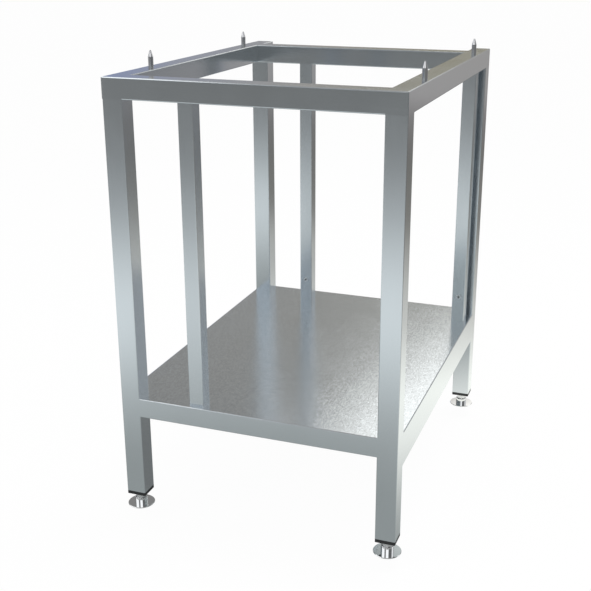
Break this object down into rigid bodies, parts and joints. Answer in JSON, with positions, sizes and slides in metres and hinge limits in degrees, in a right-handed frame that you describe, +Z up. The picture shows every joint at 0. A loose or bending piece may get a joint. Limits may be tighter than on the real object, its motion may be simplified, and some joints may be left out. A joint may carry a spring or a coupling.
{
  "type": "oven stand",
  "caption": "Free-standing welded square-tube oven stand with a folded lower shelf, tray-rack posts, locating pins on the top frame and screw-adjustable levelling feet.",
  "frame": {"origin": "on the floor, below the middle of the frame", "axes": "+Z up, -Y to the open front, +X to the right seen from the front"},
  "size_m": [0.587, 0.755, 0.913],
  "materials": {
    "brushed_steel": "fine brushed stainless steel",
    "polished_steel": "turned and polished stainless steel",
    "fastener_steel": "plain bright steel",
    "black_plastic": "satin black moulded plastic"
  },
  "bodies": {
    "frame": {"insert_nut_front_left": "fastener_steel", "insert_nut_front_right": "fastener_steel", "insert_nut_rear_left": "fastener_steel", "insert_nut_rear_right": "fastener_steel", "leg_front_left": "brushed_steel", "leg_front_right": "brushed_steel", "leg_insert_front_left": "black_plastic", "leg_insert_front_right": "black_plastic", "leg_insert_rear_left": "black_plastic", "leg_insert_rear_right": "black_plastic", "leg_rear_left": "brushed_steel", "leg_rear_right": "brushed_steel", "locating_pin_front_left": "polished_steel", "locating_pin_front_right": "polished_steel", "locating_pin_rear_left": "polished_steel", "locating_pin_rear_right": "polished_steel", "rack_insert_left": "fastener_steel", "rack_insert_right": "fastener_steel", "rack_post_front_left": "brushed_steel", "rack_post_rear_left": "brushed_steel", "rack_post_rear_right": "brushed_steel", "shelf": "brushed_steel", "shelf_stiffener_left": "brushed_steel", "shelf_stiffener_right": "brushed_steel", "top_rail_front": "brushed_steel", "top_rail_left": "brushed_steel", "top_rail_rear": "brushed_steel", "top_rail_right": "brushed_steel"},
    "foot_front_left": {"foot_base_front_left": "polished_steel", "foot_clip_front_left": "fastener_steel"},
    "stud_front_left": {"foot_stud_front_left": "fastener_steel"},
    "foot_front_right": {"foot_base_front_right": "polished_steel", "foot_clip_front_right": "fastener_steel"},
    "stud_front_right": {"foot_stud_front_right": "fastener_steel"},
    "foot_rear_left": {"foot_base_rear_left": "polished_steel", "foot_clip_rear_left": "fastener_steel"},
    "stud_rear_left": {"foot_stud_rear_left": "fastener_steel"},
    "foot_rear_right": {"foot_base_rear_right": "polished_steel", "foot_clip_rear_right": "fastener_steel"},
    "stud_rear_right": {"foot_stud_rear_right": "fastener_steel"}
  },
  "joints": [
    {"name": "foot_height_front_left", "type": "slide", "parent": "frame", "child": "foot_front_left", "axis": [0, 0, -1], "range_m": [-0.0035, 0.028]},
    {"name": "stud_turn_front_left", "type": "hinge", "parent": "foot_front_left", "child": "stud_front_left", "pos_m": [-0.266, -0.35, 0.028], "axis": [0, 0, -1], "range_deg": [-725, 5765]},
    {"name": "foot_height_front_right", "type": "slide", "parent": "frame", "child": "foot_front_right", "axis": [0, 0, -1], "range_m": [-0.0035, 0.028]},
    {"name": "stud_turn_front_right", "type": "hinge", "parent": "foot_front_right", "child": "stud_front_right", "pos_m": [0.266, -0.35, 0.028], "axis": [0, 0, -1], "range_deg": [-725, 5765]},
    {"name": "foot_height_rear_left", "type": "slide", "parent": "frame", "child": "foot_rear_left", "axis": [0, 0, -1], "range_m": [-0.0035, 0.028]},
    {"name": "stud_turn_rear_left", "type": "hinge", "parent": "foot_rear_left", "child": "stud_rear_left", "pos_m": [-0.266, 0.35, 0.028], "axis": [0, 0, -1], "range_deg": [-725, 5765]},
    {"name": "foot_height_rear_right", "type": "slide", "parent": "frame", "child": "foot_rear_right", "axis": [0, 0, -1], "range_m": [-0.0035, 0.028]},
    {"name": "stud_turn_rear_right", "type": "hinge", "parent": "foot_rear_right", "child": "stud_rear_right", "pos_m": [0.266, 0.35, 0.028], "axis": [0, 0, -1], "range_deg": [-725, 5765]}
  ],
  "couplings": [
    {"joint": "stud_turn_front_left", "follows": "foot_height_front_left", "rad_per_m": 3590.4},
    {"joint": "stud_turn_front_right", "follows": "foot_height_front_right", "rad_per_m": 3590.4},
    {"joint": "stud_turn_rear_left", "follows": "foot_height_rear_left", "rad_per_m": 3590.4},
    {"joint": "stud_turn_rear_right", "follows": "foot_height_rear_right", "rad_per_m": 3590.4}
  ]
}
